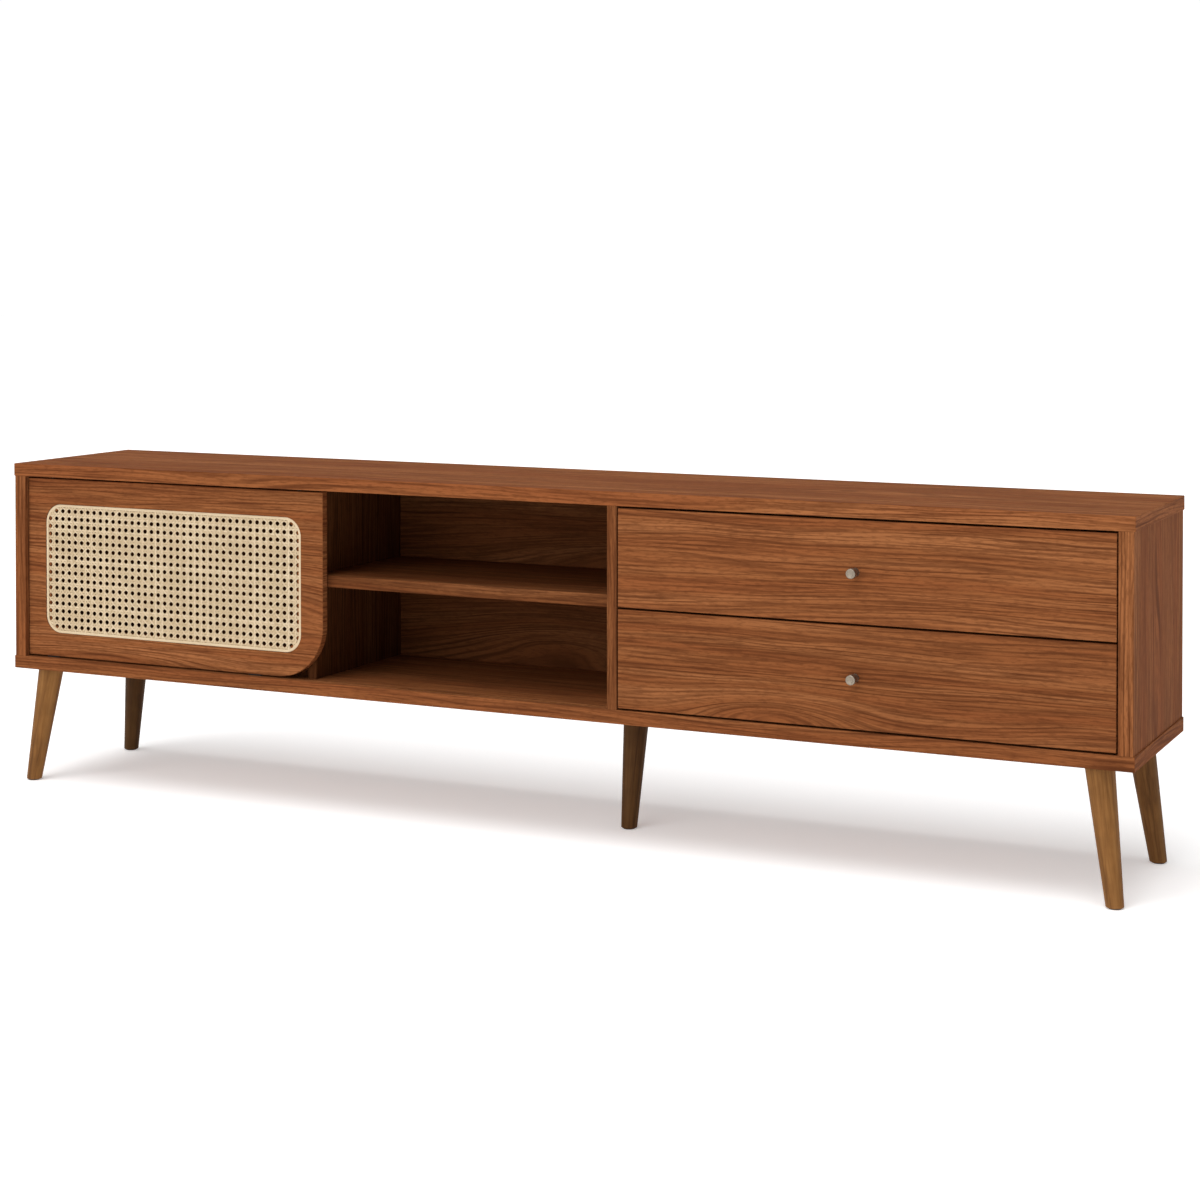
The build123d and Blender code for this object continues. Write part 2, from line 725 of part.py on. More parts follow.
def make_drawer_bottom(drawer):
    """Thin bottom held in grooves all round the drawer."""
    _, low, _ = drawer_heights(drawer)
    tuck = box_groove_depth - board_fit
    with BuildPart() as bottom:
        with BuildSketch(Plane.XY.offset(low + box_bottom_lift)):
            block(box_left_x + box_wall - tuck, box_right_x - box_wall + tuck,
                  front_rear_y - tuck, box_rear_y - box_wall + tuck)
        extrude(amount=box_bottom_thickness)
    save(bottom, f"{drawer}_drawer_bottom")


def make_drawer_cams(drawer):
    """Cam locks in the drawer sides, and the bolts that stand in the drawer front."""
    z = slide_z(drawer)
    cam_y = front_rear_y + cam_setback
    with BuildPart() as cams:
        for inner_x, way in ((box_left_x + box_wall, -1), (box_right_x - box_wall, 1)):
            with BuildSketch(at_x(inner_x)):
                with Locations((cam_y, z)):
                    Circle(cam_radius)
            extrude(amount=way * drawer_cam_height)
        with BuildSketch(at_y(front_rear_y)):
            with Locations(*[(x, z) for x in drawer_cam_axes()]):
                Circle(bolt_bore_radius)
        extrude(amount=-cam_setback - cam_bolt_head, mode=Mode.SUBTRACT)
    save(cams, f"{drawer}_drawer_cams")

    stretches = (
        (-cam_bolt_thread, 0.0, cam_bolt_thread_radius),
        (0.0, cam_setback - cam_bolt_head / 2, cam_bolt_shank_radius),
        (cam_setback - cam_bolt_head / 2, cam_setback + cam_bolt_head / 2, cam_bolt_head_radius),
    )
    with BuildPart() as bolts:
        for start, end, radius in stretches:
            with BuildSketch(at_y(front_rear_y + start)):
                with Locations(*[(x, z) for x in drawer_cam_axes()]):
                    Circle(radius)
            extrude(amount=start - end)
    save(bolts, f"{drawer}_drawer_cam_bolts")


def make_screws(name, length, seats):
    """Countersunk wood screws. A seat is the middle of a head and the way the screw points."""
    with BuildPart() as screws:
        for origin, x_way in seats:
            section = Plane(origin=origin, x_dir=(0, 0, 1), z_dir=(0, x_way, 0))
            with BuildSketch(section):
                with BuildLine():
                    Polyline((0, 0), (screw_head_radius, 0), (screw_radius, screw_head),
                             (screw_radius, length - screw_radius), (0, length), close=True)
                make_face()
            revolve(axis=Axis(origin, (x_way, 0, 0)))
    save(screws, name)


def make_box_screws(drawer):
    """Screws through the drawer sides into the drawer back."""
    _, low, high = drawer_heights(drawer)
    seats = [((outer_x, box_rear_y - box_wall / 2, z), way)
             for outer_x, way in ((box_left_x, 1), (box_right_x, -1))
             for z in box_screw_places(low, high)]
    make_screws(f"{drawer}_drawer_box_screws", box_screw_length, seats)


def make_slide_screws():
    """Screws of the cabinet rails, and for each drawer the screws of its own runners."""
    walls = ((drawer_bay_x, 1), (side_right_x, -1))
    rail_seats = [((wall_x + way * sheet_metal, slide_front_y + spot, slide_z(drawer)), -way)
                  for wall_x, way in walls for drawer in drawers for spot in rail_screw_spots]
    make_screws("rail_screws", rail_screw_length, rail_seats)
    for drawer in drawers:
        seats = [((wall_x + way * (slide_thickness - sheet_metal), slide_front_y + spot,
                   slide_z(drawer)), way)
                 for wall_x, way in walls for spot in rail_screw_spots]
        make_screws(f"{drawer}_runner_screws", runner_screw_length, seats)


def make_rail(drawer, side, wall_x, way):
    """Cabinet member of a slide, a steel channel with turned lips. way points off the wall."""
    z = slide_z(drawer)
    half = rail_height / 2
    with BuildPart() as rail:
        with BuildSketch(at_y(slide_front_y)):
            strip(wall_x, way, 0, sheet_metal, z - half, z + half)
            for up in (1, -1):
                flange_z = z + up * (half - sheet_metal / 2)
                lip_z = z + up * (half - sheet_metal - lip_height / 2)
                strip(wall_x, way, 0, rail_depth, flange_z - sheet_metal / 2,
                      flange_z + sheet_metal / 2)
                strip(wall_x, way, rail_depth - sheet_metal, rail_depth,
                      lip_z - lip_height / 2, lip_z + lip_height / 2)
        extrude(amount=-slide_length)
        with Locations(*[Plane(origin=(wall_x + way * sheet_metal, slide_front_y + spot, z),
                               z_dir=(way, 0, 0)) for spot in rail_screw_spots]):
            CounterSinkHole(screw_radius + pin_fit, screw_head_radius + pin_fit, sheet_metal)
    save(rail, f"{drawer}_{side}_rail")


def strip(wall_x, way, near, far, z_from, z_to):
    """Draw one leg of a channel in the open sketch, by its distances from the wall."""
    x_near, x_far = wall_x + way * near, wall_x + way * far
    block(min(x_near, x_far), max(x_near, x_far), z_from, z_to)


def make_runner(drawer, side, wall_x, way):
    """Drawer member of a slide, a smaller channel that opens towards the wall."""
    z = slide_z(drawer)
    half = runner_height / 2
    web = slide_thickness - sheet_metal
    with BuildPart() as runner:
        with BuildSketch(at_y(slide_front_y)):
            strip(wall_x, way, web, slide_thickness, z - half, z + half)
            for up in (1, -1):
                flange_z = z + up * (half - sheet_metal / 2)
                lip_z = z + up * (half + lip_height / 2)
                strip(wall_x, way, runner_open_gap, slide_thickness, flange_z - sheet_metal / 2,
                      flange_z + sheet_metal / 2)
                strip(wall_x, way, runner_open_gap, runner_open_gap + sheet_metal,
                      lip_z - lip_height / 2, lip_z + lip_height / 2)
        extrude(amount=-slide_length)
        with Locations(*[Plane(origin=(wall_x + way * web, slide_front_y + spot, z),
                               z_dir=(-way, 0, 0)) for spot in rail_screw_spots]):
            CounterSinkHole(screw_radius + pin_fit, screw_head_radius + pin_fit, sheet_metal)
    save(runner, f"{drawer}_{side}_runner")


def ball_rows():
    """Y of the balls of a cage, with the drawer shut. The cage travels half as far as the drawer."""
    cage_front = slide_front_y + slide_travel / 2 + (slide_length - slide_travel - cage_length) / 2
    first = cage_front + (cage_length - (ball_count - 1) * ball_pitch) / 2
    return cage_front, [first + ball_pitch * count for count in range(ball_count)]


def ball_lift():
    """Middle of a slide to its rows of balls, halfway between the rail and the runner."""
    return (rail_height / 2 - sheet_metal + runner_height / 2) / 2


def make_ball_cages(drawer, walls):
    """Ball cages, which roll along between rail and runner, and the balls that they space."""
    z = slide_z(drawer)
    cage_front, ball_ys = ball_rows()
    lift = ball_lift()
    with BuildPart() as cages:
        with BuildSketch(at_y(cage_front)):
            for wall_x, way in walls:
                strip(wall_x, way, cage_web_offset, cage_web_offset + cage_sheet, z - lift, z + lift)
                for arm_z in (z - lift, z + lift):
                    strip(wall_x, way, cage_web_offset, ball_offset + cage_arm_overhang,
                          arm_z - cage_sheet / 2, arm_z + cage_sheet / 2)
        extrude(amount=-cage_length)
        with BuildSketch(Plane.XY.offset(z)):
            for wall_x, way in walls:
                with Locations(*[(wall_x + way * ball_offset, y) for y in ball_ys]):
                    Circle(ball_radius + cage_hole_play)
        extrude(amount=rail_height / 2, both=True, mode=Mode.SUBTRACT)
    save(cages, f"{drawer}_ball_cages")

    with BuildPart() as balls:
        for wall_x, way in walls:
            for ball_z in (z - lift, z + lift):
                with Locations(*[(wall_x + way * ball_offset, y, ball_z) for y in ball_ys]):
                    Sphere(ball_radius)
    save(balls, f"{drawer}_slide_balls")


def make_knob(drawer):
    """Turned metal knob and the machine screw that holds it from inside the drawer."""
    front_z = drawers[drawer]
    knob_x = (front_left_x + front_right_x) / 2
    knob_z = front_z + front_height / 2
    neck = knob_projection - knob_head_length
    section = Plane(origin=(knob_x, front_y, knob_z), x_dir=(1, 0, 0), z_dir=(0, 0, 1))
    axis = Axis((knob_x, front_y, knob_z), (0, -1, 0))
    with BuildPart() as knob:
        with BuildSketch(section) as half:
            with BuildLine():
                Line((0, 0), (knob_base_radius, 0))
                Spline((knob_base_radius, 0), (knob_neck_radius, -neck / 2), (knob_radius, -neck),
                       tangents=((0, -1), (0, -1)))
                Line((knob_radius, -neck), (knob_radius, -knob_projection))
                Line((knob_radius, -knob_projection), (0, -knob_projection))
                Line((0, -knob_projection), (0, 0))
            make_face()
            rim = half.vertices().group_by(Axis.Y)[0].sort_by(Axis.X)[-1]
            fillet(rim, knob_round)
        revolve(axis=axis)
        with BuildSketch(at_y(front_y)):
            with Locations((knob_x, knob_z)):
                Circle(machine_screw_radius + pin_fit)
        extrude(amount=knob_bore_depth, mode=Mode.SUBTRACT)
    save(knob, f"{drawer}_knob")

    with BuildPart() as screw:
        with BuildSketch(at_y(front_rear_y + machine_screw_head)):
            with Locations((knob_x, knob_z)):
                Circle(machine_screw_head_radius)
        extrude(amount=machine_screw_head)
        fillet(screw.edges().sort_by(Axis.Y)[-1], machine_screw_head / 3)
        with BuildSketch(at_y(front_rear_y)):
            with Locations((knob_x, knob_z)):
                Circle(machine_screw_radius)
        extrude(amount=front_thickness + machine_screw_grip)
    save(screw, f"{drawer}_knob_screw")


def make_drawer(drawer):
    """All the pieces of one drawer and of its slides."""
    walls = {"left": (drawer_bay_x, 1), "right": (side_right_x, -1)}
    make_drawer_front(drawer)
    make_drawer_side(drawer, f"{drawer}_drawer_left_side", box_left_x, 1)
    make_drawer_side(drawer, f"{drawer}_drawer_right_side", box_right_x, -1)
    make_drawer_back(drawer)
    make_drawer_bottom(drawer)
    make_drawer_cams(drawer)
    make_box_screws(drawer)
    make_knob(drawer)
    for side, (wall_x, way) in walls.items():
        make_rail(drawer, side, wall_x, way)
        make_runner(drawer, side, wall_x, way)
    make_ball_cages(drawer, list(walls.values()))


os.makedirs("parts", exist_ok=True)
make_flat_panel("top_panel", overall_height, ceiling_z, top_track_depth)
make_flat_panel("bottom_panel", leg_height, floor_z, bottom_track_depth)
for upright_name in uprights:
    make_upright(upright_name)
make_shelf()
make_shelf_pins()
make_back_panel()
make_panel_dowels()
make_panel_cams()
make_panel_cam_bolts()
for leg_name, (leg_top, leg_foot) in leg_places().items():
    make_leg(leg_name, leg_top, leg_foot)
make_leg_fittings()
make_door_panel()
make_cane_panel()
make_door_guides()
for drawer_name in drawers:
    make_drawer(drawer_name)
make_slide_screws()
print(f"door travel {door_travel:.1f} mm, drawer travel {slide_travel:.1f} mm")
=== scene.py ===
# %% [markdown]
# # A low media stand with a sliding cane door
#
# The stand is a row of foil-covered boards on five turned legs. Its door holds a sheet of woven
# cane, and two drawers close the other end. The boards, legs and fittings arrive as a finished
# frame, already at their real size and place. This lesson gives every one of them its finish, and
# models what a plain solid can't show: the weave of the cane and the turned knobs.

import json
import math
import random

import bmesh
import bpy
from mathutils import Matrix, Vector


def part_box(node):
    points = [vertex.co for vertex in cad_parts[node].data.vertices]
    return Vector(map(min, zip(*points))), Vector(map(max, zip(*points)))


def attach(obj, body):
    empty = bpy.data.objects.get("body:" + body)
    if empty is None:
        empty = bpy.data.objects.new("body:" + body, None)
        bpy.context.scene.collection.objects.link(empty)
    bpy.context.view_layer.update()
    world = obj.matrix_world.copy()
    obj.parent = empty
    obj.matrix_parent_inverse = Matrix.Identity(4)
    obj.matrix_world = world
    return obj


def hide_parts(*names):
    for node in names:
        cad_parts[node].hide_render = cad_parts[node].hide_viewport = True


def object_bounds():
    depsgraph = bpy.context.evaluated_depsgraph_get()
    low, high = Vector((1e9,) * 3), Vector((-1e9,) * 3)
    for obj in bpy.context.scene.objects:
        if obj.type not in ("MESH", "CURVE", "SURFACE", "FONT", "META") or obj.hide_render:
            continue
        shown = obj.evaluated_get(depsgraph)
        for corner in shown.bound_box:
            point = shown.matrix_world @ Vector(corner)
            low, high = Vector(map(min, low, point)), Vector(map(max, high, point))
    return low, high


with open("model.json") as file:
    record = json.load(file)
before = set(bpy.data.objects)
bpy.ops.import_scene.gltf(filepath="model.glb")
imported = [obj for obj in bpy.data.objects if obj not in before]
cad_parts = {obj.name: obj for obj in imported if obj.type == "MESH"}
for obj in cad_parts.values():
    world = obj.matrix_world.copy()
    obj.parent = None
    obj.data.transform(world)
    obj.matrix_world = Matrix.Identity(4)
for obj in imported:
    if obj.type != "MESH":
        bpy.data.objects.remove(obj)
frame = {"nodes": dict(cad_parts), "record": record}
cad_low, cad_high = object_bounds()
MM = 0.001
print("frame of", len(frame["nodes"]), "pieces,", tuple(round(v, 3) for v in cad_high - cad_low), "m")

# %% [markdown]
# ## Camera
#
# A long, low piece of furniture is usually shown from a little to one side and from above its top.
# The lens is long, so that the two ends keep their proportions. The camera looks almost level,
# which keeps the uprights upright, and a vertical shift of the film brings the stand into the
# picture in the way that a view camera does.

# %% Place the camera
camera_place = Vector((1.5860, -3.1503, 0.8406))
camera_turn = math.radians(25.613)
camera_dip = math.radians(1.063)
camera_data = bpy.data.cameras.new("stand_camera")
camera_data.sensor_width = 36.0
camera_data.lens = 70.996
camera_data.shift_y = -0.25
camera = bpy.data.objects.new("stand_camera", camera_data)
camera.location = camera_place
camera.rotation_euler = (math.pi / 2 - camera_dip, 0.0, camera_turn)
bpy.context.scene.collection.objects.link(camera)
bpy.context.scene.camera = camera
print("camera", tuple(camera_place))

# %% [markdown]
# ## Node helpers
#
# A finish is a recipe of nodes, and most recipes start from the position of a point on the piece. A
# few small helpers keep them short. One adds a node with its settings, one starts a material and
# hands back its node tree and its shader, and the others each add one kind of step: some
# arithmetic, a noise, a ramp of colours, a mix of two, or a relief.

# %% Helpers for materials


def add(tree, kind, links=None, **settings):
    """New node of a kind. links gives what feeds its inputs, and settings its own properties."""
    node = tree.nodes.new(kind)
    for key, value in settings.items():
        setattr(node, key, value)
    for key, value in (links or {}).items():
        if isinstance(value, bpy.types.NodeSocket):
            tree.links.new(value, node.inputs[key])
        else:
            node.inputs[key].default_value = value
    return node


def math_node(tree, operation, first, second=0.0):
    """Arithmetic on one or two values or sockets."""
    return add(tree, "ShaderNodeMath", {0: first, 1: second}, operation=operation).outputs[0]


def new_material(name, roughness, specular, metallic=0.0):
    """Material with a principled shader. Returns it with its node tree and its shader."""
    material = bpy.data.materials.new(name)
    material.use_nodes = True
    shader = material.node_tree.nodes["Principled BSDF"]
    shader.inputs["Roughness"].default_value = roughness
    shader.inputs["Specular IOR Level"].default_value = specular
    shader.inputs["Metallic"].default_value = metallic
    return material, material.node_tree, shader


def ramp_node(tree, value, stops):
    """Colour ramp through stops of (position, (red, green, blue))."""
    node = add(tree, "ShaderNodeValToRGB", {"Fac": value})
    elements = node.color_ramp.elements
    while len(elements) < len(stops):
        elements.new(0.5)
    for element, (stop, colour) in zip(elements, stops):
        element.position = stop
        element.color = (*colour, 1.0)
    return node.outputs["Color"]


def noise(tree, vector, scale, detail, roughness=0.5, distortion=0.0):
    """Value of a noise texture at a vector."""
    links = {"Vector": vector, "Scale": scale, "Detail": detail, "Roughness": roughness,
             "Distortion": distortion}
    return add(tree, "ShaderNodeTexNoise", links).outputs["Fac"]


def blend_colour(tree, share, first, second, mode="MIX"):
    """Mix two colours or colour sockets by a share."""
    node = add(tree, "ShaderNodeMix", data_type="RGBA", blend_type=mode)
    for socket, value in ((node.inputs[0], share), (node.inputs[6], first), (node.inputs[7], second)):
        if isinstance(value, bpy.types.NodeSocket):
            tree.links.new(value, socket)
        elif isinstance(value, tuple):
            socket.default_value = (*value, 1.0)
        else:
            socket.default_value = value
    return node.outputs[2]


def share_above(tree, value, start, end, most):
    """0 up to start, rising to most at end."""
    return add(tree, "ShaderNodeMapRange", {
        "Value": value, "From Min": start, "From Max": end, "To Max": most}).outputs[0]


def object_place(tree):
    """Position of a point on the piece, in metres."""
    return add(tree, "ShaderNodeTexCoord").outputs["Object"]


def mapping(tree, vector, **settings):
    """Vector moved, turned or scaled by a Mapping node."""
    return add(tree, "ShaderNodeMapping", {"Vector": vector, **settings}).outputs[0]


def relief(tree, shader, height, strength, distance):
    """Let a height bend the light on the surface by a little."""
    bump = add(tree, "ShaderNodeBump", {"Height": height, "Strength": strength, "Distance": distance})
    tree.links.new(bump.outputs["Normal"], shader.inputs["Normal"])


print("helpers ready")

# %% [markdown]
# ## Studio
#
# The room is a plain pale floor under a sky that is bright along the horizon and dim above, as
# between the white walls of a studio. Two broad lights give the shape. The key light stands almost
# overhead, so that the bay under the top falls into shade. The fill light comes in low from the
# front and keeps the fronts as bright as the top. The floor gives off a little light of its own,
# which keeps the shadow under the stand faint. The standard view transform shows the finishes as
# they are mixed.

# %% Sky
bpy.context.scene.view_settings.view_transform = "Standard"
# (height, brightness): 0 is straight down, 0.5 the horizon and 1 straight up
sky_stops = ((0.0, 0.60), (0.5, 1.02), (0.556, 1.02), (0.60, 0.27), (1.0, 0.27))


def make_sky():
    """World background whose brightness follows the height above the horizon."""
    world = bpy.data.worlds.new("studio_sky")
    world.use_nodes = True
    tree = world.node_tree
    direction = add(tree, "ShaderNodeTexCoord").outputs["Generated"]
    split = add(tree, "ShaderNodeSeparateXYZ", {"Vector": direction}).outputs
    height = add(tree, "ShaderNodeMapRange", {"Value": split["Z"], "From Min": -1.0}).outputs["Result"]
    colour = ramp_node(tree, height, [(stop, (grey, grey, grey)) for stop, grey in sky_stops])
    tree.links.new(colour, tree.nodes["Background"].inputs["Color"])
    bpy.context.scene.world = world


make_sky()
print("sky with", len(sky_stops), "stops")

# %% Lights
light_azimuth = -14.0
light_distance = 5.0
light_spread = math.radians(50.0)
# name, strength, height over the horizon in degrees
studio_lights = (("key_light", 2.05, 76.0), ("fill_light", 1.10, 27.0))


def away_from_stand(azimuth, elevation):
    """Direction from the stand towards a light. Azimuth 0 is straight in front."""
    turn, lift = math.radians(azimuth), math.radians(elevation)
    return Vector((math.sin(turn) * math.cos(lift), -math.cos(turn) * math.cos(lift), math.sin(lift)))


def add_light(name, strength, elevation):
    """Broad light that looks at the middle of the stand."""
    data = bpy.data.lights.new(name, "SUN")
    data.angle = light_spread
    data.energy = strength
    away = away_from_stand(light_azimuth, elevation)
    light = bpy.data.objects.new(name, data)
    light.location = (cad_low + cad_high) / 2 + away * light_distance
    light.rotation_euler = away.to_track_quat("Z", "Y").to_euler()
    bpy.context.scene.collection.objects.link(light)


for name, strength, elevation in studio_lights:
    add_light(name, strength, elevation)
print("studio with", len(bpy.data.lights), "lights")

# %% Floor
floor_radius = 30.0
floor_glow = 0.30


def link_object(name, mesh):
    """Put a mesh into the scene as an object at the origin."""
    obj = bpy.data.objects.new(name, mesh)
    bpy.context.scene.collection.objects.link(obj)
    return obj


bm = bmesh.new()
bmesh.ops.create_circle(bm, cap_ends=True, segments=96, radius=floor_radius)
floor_mesh = bpy.data.meshes.new("studio_floor")
bm.to_mesh(floor_mesh)
bm.free()
studio_floor = link_object("studio_floor", floor_mesh)
pale, _, shader = new_material("pale_floor", 0.9, 0.0)
shader.inputs["Base Color"].default_value = (0.94, 0.94, 0.94, 1.0)
shader.inputs["Emission Color"].default_value = (1.0, 1.0, 1.0, 1.0)
shader.inputs["Emission Strength"].default_value = floor_glow
floor_mesh.materials.append(pale)
print("floor", 2 * floor_radius, "m across")

# %% [markdown]
# ## Walnut foil
#
# The boards are particle board wrapped in a printed walnut foil: warm brown, with thin dark streaks
# that run the length of each board, broader reddish bands, and here and there an arch. A tree's
# rings cut lengthways do just that. So the recipe draws rings: it measures how far across the grain
# a point lies, bends that distance by a slow noise, and draws a thin line each time that the bent
# distance has grown by one ring.
#
# An arch is a round hill in the bend, highest at its middle and gone at its foot, which pushes the
# lines up over it. Only some boards get one, at a place given as a share of the board's length and
# width. Every board reads another place in the noise, so that no two look the same.
#
# The grain runs along X on boards that lie flat and on fronts, and along Z on uprights. Across the
# grain, the sum of the other two coordinates is used, so that the streaks go round the edges of
# the board, as a wrapped foil does. The ends of a board carry a strip of the same foil, whose
# streaks run along the end.
#
# Over the bands and rings lie three more layers of dark lines, each a noise whose cells are long and
# narrow: streaks, thin lines between them, and the short fibres of the print.

# %% Colours and cells of the foil
walnut_dark = (0.084, 0.0250, 0.0090)
walnut_mid = (0.254, 0.0885, 0.0300)
walnut_light = (0.305, 0.1135, 0.0410)
walnut_red = (0.236, 0.0750, 0.0250)
foil_roughness, foil_gloss = 0.60, 0.01
swell_length, swell_width, swell_height, swell_slice = 0.40, 0.060, 0.026, 5.1
ring_spacing, ring_wander = 0.0068, 3.0
wander_cell, present_cell = (0.30, 0.020), (0.22, 0.016)
streak_cell, thin_cell, fibre_cell = (0.180, 0.0058), (0.110, 0.0031), (0.013, 0.0022)
band_length, red_length, red_width = 0.75, 0.50, 1.6
band_colours = ((0.34, walnut_red), (0.50, walnut_mid), (0.64, walnut_light))
# where a layer starts and ends in the values of its noise, and how much of it shows
red_range, streak_range = (0.50, 0.68, 0.60), (0.50, 0.66, 0.42)
thin_range, fibre_range = (0.49, 0.60, 0.52), (0.50, 0.64, 0.36)
ring_range, present_range = (0.20, 1.0, 0.75), (0.36, 0.60, 1.0)
foil_relief = (0.10, 0.0004)
end_facing = 0.7
print("walnut between", walnut_dark, "and", walnut_light)

# %% Lines of the grain


def blend_value(tree, share, first, second):
    """Mix two values by a share."""
    return add(tree, "ShaderNodeMix", {"Factor": share, "A": first, "B": second}).outputs["Result"]


def arch_hill(tree, run, across, arch):
    """Height of a round hill. arch is its middle, its half length and width, and its height."""
    middle_run, middle_across, half_length, half_width, height = arch
    offset = add(tree, "ShaderNodeCombineXYZ", {
        "X": math_node(tree, "DIVIDE", math_node(tree, "SUBTRACT", run, middle_run), half_length),
        "Y": math_node(tree, "DIVIDE", math_node(tree, "SUBTRACT", across, middle_across), half_width),
    }).outputs[0]
    square = add(tree, "ShaderNodeVectorMath", {0: offset, 1: offset}, operation="DOT_PRODUCT")
    fall = math_node(tree, "EXPONENT", math_node(tree, "MULTIPLY", square.outputs["Value"], -1.0))
    return math_node(tree, "MULTIPLY", fall, height)


def grain_lines(tree, along, shift, arches):
    """Distances along the grain, across it, and across it along the bent lines."""
    coordinates = add(tree, "ShaderNodeTexCoord").outputs
    split = add(tree, "ShaderNodeSeparateXYZ", {"Vector": coordinates["Object"]}).outputs
    facing = add(tree, "ShaderNodeSeparateXYZ", {"Vector": coordinates["Normal"]}).outputs[along]
    on_end = math_node(tree, "GREATER_THAN", math_node(tree, "ABSOLUTE", facing), end_facing)
    others = [axis for axis in "XYZ" if axis != along]
    both = math_node(tree, "ADD", split[others[0]], split[others[1]])
    across = blend_value(tree, on_end, both, split[others[1]])
    run = math_node(tree, "ADD", blend_value(tree, on_end, split[along], split[others[0]]), shift)
    slow = add(tree, "ShaderNodeCombineXYZ", {
        "X": math_node(tree, "DIVIDE", run, swell_length),
        "Y": math_node(tree, "DIVIDE", across, swell_width), "Z": shift * swell_slice}).outputs[0]
    swell = math_node(tree, "SUBTRACT", noise(tree, slow, 1.0, 1.0, 0.4), 0.5)
    bent = math_node(tree, "ADD", across, math_node(tree, "MULTIPLY", swell, swell_height))
    for arch in arches:
        bent = math_node(tree, "SUBTRACT", bent, arch_hill(tree, split[along], across, arch))
    return run, across, bent


def stretched_noise(tree, run, across, cell, shift, detail=2.0):
    """Noise whose cells are long along the grain and narrow across it. cell is that length and width."""
    vector = add(tree, "ShaderNodeCombineXYZ", {
        "X": math_node(tree, "DIVIDE", run, cell[0]),
        "Y": math_node(tree, "DIVIDE", across, cell[1]), "Z": shift}).outputs[0]
    return noise(tree, vector, 1.0, detail, 0.55)


def ring_lines(tree, run, bent, shift):
    """Share of the thin dark rings, which come and go along the grain."""
    wander = stretched_noise(tree, run, bent, wander_cell, shift + 10.0)
    turns = math_node(tree, "ADD", math_node(tree, "DIVIDE", bent, ring_spacing),
                      math_node(tree, "MULTIPLY", wander, ring_wander))
    wave = math_node(tree, "SINE", math_node(tree, "MULTIPLY", turns, 2 * math.pi))
    line = share_above(tree, wave, *ring_range)
    come_and_go = stretched_noise(tree, run, bent, present_cell, shift + 12.0)
    return math_node(tree, "MULTIPLY", line, share_above(tree, come_and_go, *present_range))


print("grain ready")

# %% Walnut foil


def walnut_foil(name, along, shift, tone_with_painted_light_and_shade, band=0.026, arches=()):
    """Foil finish. along is the grain's axis, band the broad bands' width, and the tone multiplies its
    brightness to paint light and shade.

    Each layer reads another slice of the noise, so each adds another number to the shift.
    """
    material, tree, shader = new_material("walnut_foil_" + name, foil_roughness, foil_gloss)
    run, across, bent = grain_lines(tree, along, shift, arches)
    streaks = stretched_noise(tree, run, bent, streak_cell, shift, 3.0)
    thin = stretched_noise(tree, run, bent, thin_cell, shift + 2.0, 3.0)
    broad = stretched_noise(tree, run, bent, (band_length, band), shift + 4.0, 1.0)
    redness = stretched_noise(tree, run, bent, (red_length, band * red_width), shift + 6.0)
    fibre = stretched_noise(tree, run, across, fibre_cell, shift + 8.0)
    rings = ring_lines(tree, run, bent, shift)

    colour = ramp_node(tree, broad, band_colours)
    colour = blend_colour(tree, share_above(tree, redness, *red_range), colour, walnut_red)
    colour = blend_colour(tree, rings, colour, walnut_dark)
    colour = blend_colour(tree, share_above(tree, streaks, *streak_range), colour, walnut_dark)
    colour = blend_colour(tree, share_above(tree, thin, *thin_range), colour, walnut_dark)
    colour = blend_colour(tree, share_above(tree, fibre, *fibre_range), colour, walnut_dark)
    # painted light and shade: the tone darkens or lightens the printed colour of the whole board
    shade = blend_colour(tree, 1.0, colour, (tone_with_painted_light_and_shade, tone_with_painted_light_and_shade, tone_with_painted_light_and_shade), "MULTIPLY")
    tree.links.new(shade, shader.inputs["Base Color"])
    height = math_node(tree, "ADD", streaks, math_node(tree, "MULTIPLY", fibre, 0.5))
    relief(tree, shader, height, *foil_relief)
    return material


def place_arches(node, along, shares):
    """Turn arches given as shares of a board's length and width into metres."""
    low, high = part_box(node)
    axis = "XYZ".index(along)
    others = [index for index in range(3) if index != axis]
    across_low, across_high = (sum(corner[index] for index in others) for corner in (low, high))
    placed = []
    for run_share, across_share, half_length, half_width, height in shares:
        placed.append((low[axis] + run_share * (high[axis] - low[axis]),
                       across_low + across_share * (across_high - across_low),
                       half_length, half_width, height))
    return placed


def paint(node, material):
    """Give every slot of a frame node the material."""
    for material_slot in frame["nodes"][node].material_slots:
        material_slot.material = material


print("foil recipe ready")
